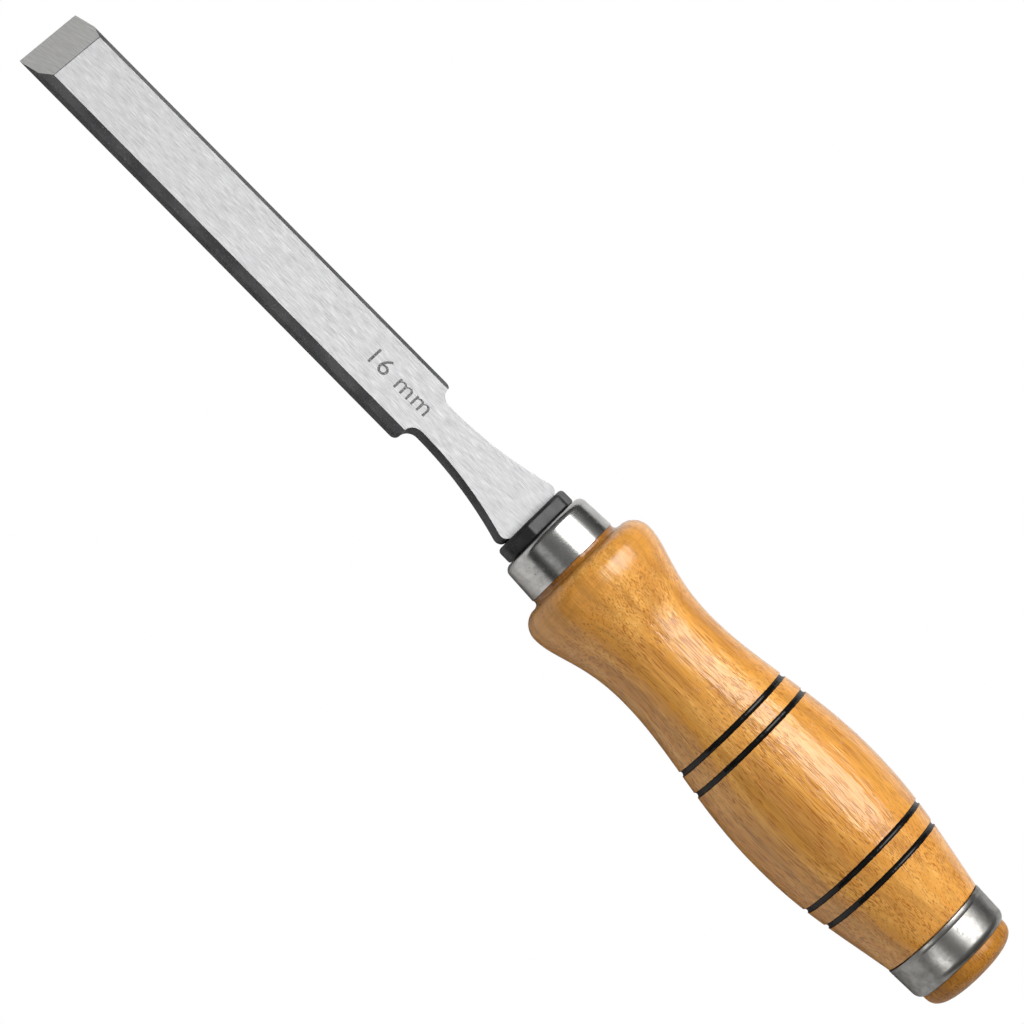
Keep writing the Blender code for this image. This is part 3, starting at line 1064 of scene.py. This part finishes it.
@dataclass
class Ferrule:
    """The drawn steel cup round the front of the handle."""

    bore_radius: float = 0.0093
    front_wall: float = 0.0011
    rear_wall: float = 0.00145
    face_thickness: float = 0.0012
    corner: float = 0.0016
    hole_radius: float = 0.0047
    rear_edge: float = 0.00015

    def mesh(self) -> Mesh:
        """Turn the cup, then round its corner, its bore and its edges."""
        low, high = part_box("front_ferrule")
        length = high.x - low.x
        front, rear = self.bore_radius + self.front_wall, self.bore_radius + self.rear_wall
        quarter = math.pi / 2
        inner = self.corner - self.face_thickness
        outer_centre = (self.corner, front - self.corner)
        inner_centre = (self.corner, self.bore_radius - inner)
        profile = [(0, self.hole_radius)]
        profile += arc(outer_centre, self.corner, 2 * quarter, quarter)
        profile += [(length, rear), (length, self.bore_radius)]
        profile += arc(inner_centre, inner, quarter, 2 * quarter, 4)
        profile += [(self.face_thickness, self.hole_radius)]
        bm = turned(profile, closed=True)
        round_edges(bm, rings_at(bm, length, rear), self.rear_edge, 3)
        round_edges(bm, rings_at(bm, 0, self.hole_radius), self.rear_edge, 2)
        mark_sharp(bm, math.radians(32))
        return bm

    def build(self) -> list[Piece]:
        """Build and dress the ferrule."""
        steel = SatinSteel("ferrule_satin").material()
        x = lowest("front_ferrule").x
        return [show("ferrule", self.mesh(), x, "front_ferrule", [steel])]


# ---------------------------------------------------------------- handle


class HandleZone(IntEnum):
    """Which finish a face of the handle takes."""

    GRIP = 0
    BUTT = 1


@dataclass
class Handle:
    """The turned wooden handle between and under the two rings.

    The points of a groove are shares of its half width, from its middle, and of its depth. The reaches
    say where the painted shade in the cove, the lathe marks and the lacquer start to thin out, in steps of
    their fades.
    """

    bore_radius: float = 0.0093
    seam: float = 0.0001
    grip_length: float = 0.0995
    cove_radius: float = 0.0106
    cove_front: float = -0.00028
    cove_land: float = 0.00015
    cove_run: float = 0.0008
    cove_rise: float = 0.0011
    # how far back from the ferrule the painted shade in the cove holds, and over what length it fades
    cove_shade_reach: float = 1.25
    cove_shade_fade: float = 0.0014
    crown: Point = (0.0052, 0.01575)
    lathe_reach: float = 1.6
    lathe_fade: float = 0.0028
    waist: Point = (0.0261, 0.01204)
    belly_before_rear: float = 0.0328
    rear_radius: float = 0.0119
    rear_slope: float = 0.18
    crown_fullness: float = 0.26
    waist_fullness: Point = (0.53, 0.33)
    belly_fullness: Point = (0.41, 0.39)
    rear_fullness: float = 0.39
    tenon_chamfer: float = 0.0006
    groove_width: float = 0.00125
    groove_depth: float = 0.00038
    groove_spacing: float = 0.0050
    lacquer_reach: float = 1.25
    lacquer_fade: float = 0.5
    groove_lip: tuple[Point, ...] = ((-1.22, 0.0), (-1.08, -0.04), (-1.0, 0.0), (-0.93, 0.16))
    groove_wall: tuple[Point, ...] = ((-0.82, 0.45), (-0.62, 0.76), (-0.35, 0.94))
    front_pair_before_belly: float = 0.0202
    rear_pair_before_rear: float = 0.0170
    hoop_length: float = 0.0081
    hoop_wall: float = 0.0010
    hoop_front_radius: float = 0.0120
    hoop_taper: float = 0.0002
    crimp_radius: float = 0.0022
    crimp_angle: float = math.radians(57)
    butt_inset: float = 0.00005
    butt_squareness: float = 3.0
    striking_face_radius: float = 0.0030

    def tenon(self) -> list[Point]:
        """From the axis at the tenon's front face to the step behind the ferrule."""
        front = self.front()
        radius = self.bore_radius - self.seam
        chamfer = [(front, radius - self.tenon_chamfer), (front + self.tenon_chamfer, radius)]
        return [(front, 0)] + chamfer + [(self.cove_front, radius)]

    def front(self) -> float:
        """Where the tenon starts, ahead of the grip."""
        return lowest("handle").x - self.grip_x()

    def grip_x(self) -> float:
        """Where the grip starts in the frame: just behind the ferrule."""
        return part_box("front_ferrule")[1].x + GAP

    def nose(self) -> list[Point]:
        """The cove behind the ferrule and the rounded front of the crown."""
        quarter = math.pi / 2
        nose_x, nose_radius = self.cove_land + self.cove_run, self.cove_radius + self.cove_rise
        run, rise = self.crown[0] - nose_x, self.crown[1] - nose_radius
        points = [(self.cove_front, self.cove_radius)]
        for x, y in arc((0, 0), 1, -quarter, 0):
            points.append((self.cove_land + self.cove_run * x, nose_radius + self.cove_rise * y))
        for x, y in arc((0, 0), 1, 2 * quarter, quarter, 2 * ARC_STEPS):
            points.append((self.crown[0] + run * x, nose_radius + rise * y))
        return points

    def contour(self) -> list[Point]:
        """The grip from the ferrule to the hoop, before its grooves are turned in."""
        belly = (self.grip_length - self.belly_before_rear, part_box("handle")[1].z - axis_height())
        rear = (self.grip_length, self.rear_radius)
        points = self.nose()
        points += curve(self.crown, self.waist, (self.crown_fullness, self.waist_fullness[0]))
        points += curve(self.waist, belly, (self.waist_fullness[1], self.belly_fullness[0]), steps=44)
        points += curve(belly, rear, (self.belly_fullness[1], self.rear_fullness), self.rear_slope)
        return points

    def groove_stations(self) -> list[float]:
        """The middle of each of the four grooves, from the front of the grip."""
        front_pair = self.grip_length - self.belly_before_rear - self.front_pair_before_belly
        rear_pair = self.grip_length - self.rear_pair_before_rear
        half = self.groove_spacing / 2
        return [pair + side * half for pair in (front_pair, rear_pair) for side in (-1, 1)]

    def grooved(self, contour: list[Point]) -> list[Point]:
        """Turn a rounded groove into the contour at each station.

        Args:
            contour: The smooth contour.

        Returns:
            The contour with its grooves, each with softened lips.
        """
        half = self.groove_width / 2
        front_half = list(self.groove_lip + self.groove_wall)
        shape = front_half + [(0.0, 1.0)] + [(-along, depth) for along, depth in reversed(front_half)]
        for centre in self.groove_stations():
            notch = []
            for along, depth in shape:
                x = centre + along * half
                notch.append((x, radius_at(contour, x) - depth * self.groove_depth))
            before = [point for point in contour if point[0] < notch[0][0]]
            after = [point for point in contour if point[0] > notch[-1][0]]
            contour = before + notch + after
        return contour

    def seat(self) -> list[Point]:
        """The wood under the hoop and the hollow that the crimped edge is bent into."""
        rear = self.grip_length + GAP + self.hoop_length
        rear_radius = self.hoop_front_radius - self.hoop_taper
        centre = (rear - self.crimp_radius * math.sin(self.crimp_angle), rear_radius - self.crimp_radius)
        radius = self.crimp_radius - self.hoop_wall - self.seam
        corner = math.pi / 2 - self.crimp_angle - math.asin(self.seam / radius)
        step = (self.grip_length, self.hoop_front_radius - self.hoop_wall - self.seam)
        return [step] + arc(centre, radius, math.pi / 2, corner)

    def butt(self, seat_end: Point) -> list[Point]:
        """From the hollow under the crimped edge, over a squared-off dome, to the axis.

        Args:
            seat_end: Where the hollow ends.

        Returns:
            The points to the middle of the striking face.
        """
        rear_radius = self.hoop_front_radius - self.hoop_taper
        radius = rear_radius - self.crimp_radius * (1 - math.cos(self.crimp_angle)) - self.butt_inset
        start = seat_end[0] + (radius - seat_end[1]) * math.tan(self.crimp_angle)
        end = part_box("handle")[1].x - self.grip_x()
        power = 1 / self.butt_squareness
        at_flat = (1 - (self.striking_face_radius / radius) ** self.butt_squareness) ** power
        full_length = (end - start) / at_flat
        points = []
        steps = 5 * ARC_STEPS
        for i in range(steps):
            angle = math.pi / 2 * i / steps
            ring = radius * math.cos(angle) ** (2 * power)
            if ring > self.striking_face_radius * 1.02:
                points.append((start + full_length * math.sin(angle) ** (2 * power), ring))
        return points + [(end, self.striking_face_radius), (end, 0)]

    def mesh(self) -> Mesh:
        """Turn the handle and paint where the painted shade in its cove and its lacquer are."""
        seat = self.seat()
        profile = self.tenon() + self.grooved(self.contour()) + seat + self.butt(seat[-1])
        bm = turned(profile, closed=False)
        lacquer = bm.verts.layers.float.new("lacquer")
        cove = bm.verts.layers.float.new("cove")
        lathe = bm.verts.layers.float.new("lathe")
        stations = self.groove_stations()
        for vert in bm.verts:
            away = min(abs(vert.co.x - station) for station in stations) / (self.groove_width / 2)
            vert[lacquer] = clamped((self.lacquer_reach - away) / self.lacquer_fade)
            # Painted shade in the cove behind the ferrule, full at its front and fading back.
            vert[cove] = clamped(self.cove_shade_reach - vert.co.x / self.cove_shade_fade)
            vert[lathe] = clamped(self.lathe_reach - abs(vert.co.x - self.crown[0]) / self.lathe_fade)
        for face in bm.faces:
            behind_hoop = face.calc_center_median().x > self.grip_length + self.hoop_length / 2
            face.material_index = HandleZone.BUTT if behind_hoop else HandleZone.GRIP
        mark_sharp(bm, math.radians(38))
        return bm

    def build(self) -> list[Piece]:
        """Build and dress the handle."""
        wood = VarnishedWood("varnished_handle_wood").material()
        butt = VarnishedWood(
            "oiled_butt_wood",
            early=(0.62, 0.27, 0.040),
            late=(0.47, 0.190, 0.024),
            shade=(0.30, 0.125, 0.018),
            pore=(0.25, 0.095, 0.014),
            coat=0.45,
            coat_roughness=0.26,
        ).material()
        return [show("grip", self.mesh(), self.grip_x(), "handle", [wood, butt])]


def radius_at(contour: list[Point], x: float) -> float:
    """The contour's radius at x, read along its straight stretches.

    Args:
        contour: The (x, radius) points.
        x: The station.

    Returns:
        The radius there.
    """
    for (x0, r0), (x1, r1) in zip(contour, contour[1:]):
        if x0 <= x <= x1 and x1 > x0:
            return r0 + (r1 - r0) * (x - x0) / (x1 - x0)
    raise ValueError(f"x = {x} lies off the contour")


@dataclass
class Hoop:
    """The steel ring round the rear of the handle, bent in at its rear edge.

    The points of the fine line behind its lip are a run along it and a depth.
    """

    wall: float = 0.0010
    front_radius: float = 0.0120
    taper: float = 0.0002
    crimp_radius: float = 0.0022
    crimp_angle: float = math.radians(57)
    lip: float = 0.0011
    line: tuple[Point, ...] = ((0, 0.00001), (0.00008, 0.00007), (0.00022, 0.00007), (0.00040, 0.00003))
    edge: float = 0.00012

    def mesh(self) -> Mesh:
        """Turn the hoop: rounded front edge, plain lip, a fine line behind it, and the bent-in rear."""
        low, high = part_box("striking_hoop")
        length = high.x - low.x
        radius = self.front_radius - self.taper
        centre = (length - self.crimp_radius * math.sin(self.crimp_angle), radius - self.crimp_radius)
        end = math.pi / 2 - self.crimp_angle
        line = [(self.lip + run, self.front_radius - depth) for run, depth in self.line]
        profile = [(0, self.front_radius - self.wall), (0, self.front_radius)] + line
        profile += arc(centre, self.crimp_radius, math.pi / 2, end, 2 * ARC_STEPS)
        profile += arc(centre, self.crimp_radius - self.wall, end, math.pi / 2)
        bm = turned(profile, closed=True)
        round_edges(bm, rings_at(bm, 0, self.front_radius), self.edge, 3)
        mark_sharp(bm, math.radians(38))
        return bm

    def build(self) -> list[Piece]:
        """Build and dress the hoop."""
        steel = SatinSteel(
            "hoop_satin",
            light=(0.33, 0.325, 0.31),
            dull=(0.22, 0.215, 0.20),
            roughness=0.33,
            mottle=0.9,
        ).material()
        x = lowest("striking_hoop").x
        return [show("hoop", self.mesh(), x, "striking_hoop", [steel])]


# ---------------------------------------------------------------- studio


class Lamp(Enum):
    """The panels of the studio, by what they do."""

    KEY = "key"
    SOFT = "soft"
    FILL = "fill"
    REAR = "rear"


@dataclass(frozen=True)
class Panel:
    """A soft panel that faces the chisel.

    It hangs overhead, moved along X by side, and leans from there toward +Y by some degrees.
    """

    lamp: Lamp
    side: float
    lean: float
    size: Point
    radiance: float


@dataclass
class Studio:
    """Camera, soft light and pale floor."""

    azimuth: float = math.radians(1.496)
    elevation: float = math.radians(59.183)
    roll: float = math.radians(44.048)
    distance: float = 0.9221
    focal_length: float = 165.8
    aim: Vector = field(default_factory=lambda: Vector((-0.00015, 0, 0)))
    aim_right: float = -0.00012
    aim_up: float = -0.00179
    floor_size: float = 60.0
    floor_drop: float = 0.00005
    floor_shade: Color = (0.71, 0.71, 0.71)
    wall_shades: tuple[Point, ...] = ((0.0, 0.02), (0.15, 0.035), (0.40, 0.11), (0.70, 0.19), (1.0, 0.22))
    panel_distance: float = 1.2
    panels: tuple[Panel, ...] = (
        Panel(Lamp.KEY, side=0.02, lean=18.6, size=(0.80, 0.99), radiance=6.0),
        Panel(Lamp.SOFT, side=0.0, lean=2, size=(0.90, 0.80), radiance=1.3),
        Panel(Lamp.FILL, side=0.0, lean=-57, size=(1.6, 0.38), radiance=0.37),
        Panel(Lamp.REAR, side=0.24, lean=-61, size=(0.34, 0.42), radiance=4.8),
    )

    def camera(self) -> Piece:
        """Place the camera, turned about its own line of sight."""
        az, el, roll = self.azimuth, self.elevation, self.roll
        out = Vector((math.sin(az) * math.cos(el), -math.cos(az) * math.cos(el), math.sin(el)))
        level = Vector((math.cos(az), math.sin(az), 0))
        rise = out.cross(level)
        right = math.cos(roll) * level + math.sin(roll) * rise
        up = -math.sin(roll) * level + math.cos(roll) * rise
        target = self.aim + Vector((0, 0, axis_height())) + self.aim_right * right + self.aim_up * up
        data = bpy.data.cameras.new("camera")
        data.lens = self.focal_length
        data.sensor_width = 36
        data.clip_start = 0.01
        data.clip_end = 100
        camera = bpy.data.objects.new("camera", data)
        basis = Matrix((right, up, out)).transposed().to_4x4()
        camera.matrix_world = Matrix.Translation(target + self.distance * out) @ basis
        bpy.context.scene.collection.objects.link(camera)
        bpy.context.scene.camera = camera
        return camera

    def hang(self, panel: Panel) -> Piece:
        """Hang a panel.

        Args:
            panel: The panel.

        Returns:
            The light.
        """
        width, height = panel.size
        data = bpy.data.lights.new(f"{panel.lamp.value}_panel", "AREA")
        data.shape = "RECTANGLE"
        data.size = width
        data.size_y = height
        data.energy = panel.radiance * math.pi * width * height
        light = bpy.data.objects.new(data.name, data)
        lean = math.radians(panel.lean)
        away = Vector((panel.side, math.sin(lean), math.cos(lean))).normalized()
        rise = away.cross(Vector((1, 0, 0))).normalized()
        basis = Matrix((rise.cross(away), rise, away)).transposed().to_4x4()
        light.matrix_world = Matrix.Translation(away * self.panel_distance) @ basis
        light.visible_camera = False
        light.visible_glossy = panel.lamp is not Lamp.SOFT
        light.visible_diffuse = panel.lamp in (Lamp.KEY, Lamp.SOFT)
        bpy.context.scene.collection.objects.link(light)
        return light

    def room(self) -> None:
        """A dim room whose walls fade to dark at the floor, behind a white screen for the camera."""
        world = bpy.data.worlds.new("room")
        world.use_nodes = True
        tree = world.node_tree
        background = tree.nodes["Background"]
        coords = tree.nodes.new("ShaderNodeTexCoord")
        split = tree.nodes.new("ShaderNodeSeparateXYZ")
        ramp = tree.nodes.new("ShaderNodeValToRGB")
        tree.links.new(coords.outputs["Generated"], split.inputs[0])
        tree.links.new(split.outputs["Z"], ramp.inputs[0])
        elements = ramp.color_ramp.elements
        for place, _ in self.wall_shades[1:-1]:
            elements.new(place)
        for element, (_, grey) in zip(elements, self.wall_shades):
            element.color = (grey, grey, grey, 1)
        seen = tree.nodes.new("ShaderNodeLightPath")
        white = tree.nodes.new("ShaderNodeMix")
        white.data_type = "RGBA"
        tree.links.new(seen.outputs["Is Camera Ray"], white.inputs[0])
        tree.links.new(ramp.outputs["Color"], white.inputs[6])
        white.inputs[7].default_value = (1, 1, 1, 1)
        tree.links.new(white.outputs[2], background.inputs["Color"])
        bpy.context.scene.world = world

    def floor(self) -> Piece:
        """A pale table that the camera sees as plain white, without a shadow."""
        bm = bmesh.new()
        bmesh.ops.create_grid(bm, x_segments=1, y_segments=1, size=self.floor_size / 2)
        bmesh.ops.translate(bm, verts=bm.verts, vec=(0, 0, -self.floor_drop))
        mesh = bpy.data.meshes.new("floor")
        bm.to_mesh(mesh)
        bm.free()
        floor = bpy.data.objects.new("floor", mesh)
        bpy.context.scene.collection.objects.link(floor)
        material = bpy.data.materials.new("white_table")
        material.use_nodes = True
        tree = material.node_tree
        shader = tree.nodes["Principled BSDF"]
        shader.inputs["Base Color"].default_value = opaque(self.floor_shade)
        shader.inputs["Roughness"].default_value = 0.9
        glow = tree.nodes.new("ShaderNodeEmission")
        seen = tree.nodes.new("ShaderNodeLightPath")
        choose = tree.nodes.new("ShaderNodeMixShader")
        tree.links.new(seen.outputs["Is Camera Ray"], choose.inputs[0])
        tree.links.new(shader.outputs[0], choose.inputs[1])
        tree.links.new(glow.outputs[0], choose.inputs[2])
        tree.links.new(choose.outputs[0], tree.nodes["Material Output"].inputs["Surface"])
        mesh.materials.append(material)
        return floor

    def flag(self, light: Piece, pieces: list[Piece]) -> None:
        """Keep a light off everything but a few pieces.

        Args:
            light: The light.
            pieces: The only pieces that it lights.
        """
        lit = bpy.data.collections.new(f"{light.name}_lights")
        for piece in pieces:
            lit.objects.link(piece)
        light.light_linking.receiver_collection = lit

    def build(self, rear_lit: list[Piece]) -> None:
        """Set up the camera, the room, the floor and the panels.

        Args:
            rear_lit: The pieces that the rear panel is for.
        """
        self.camera()
        self.room()
        self.floor()
        lights = {panel.lamp: self.hang(panel) for panel in self.panels}
        self.flag(lights[Lamp.REAR], rear_lit)
        bpy.context.scene.view_settings.view_transform = "Standard"


def main() -> None:
    """Build every piece in order, then the studio, and note the sizes."""
    logging.basicConfig(level=logging.INFO, format="%(name)s: %(message)s")
    built = {}
    for assembly in (Blade(), Collar(), Ferrule(), Handle(), Hoop()):
        built[type(assembly)] = assembly.build()
        for piece in built[type(assembly)]:
            LOG.info("%s: %d faces", piece.name, len(piece.data.polygons))
    Studio().build(rear_lit=built[Hoop])


if __name__ == "__main__":
    main()
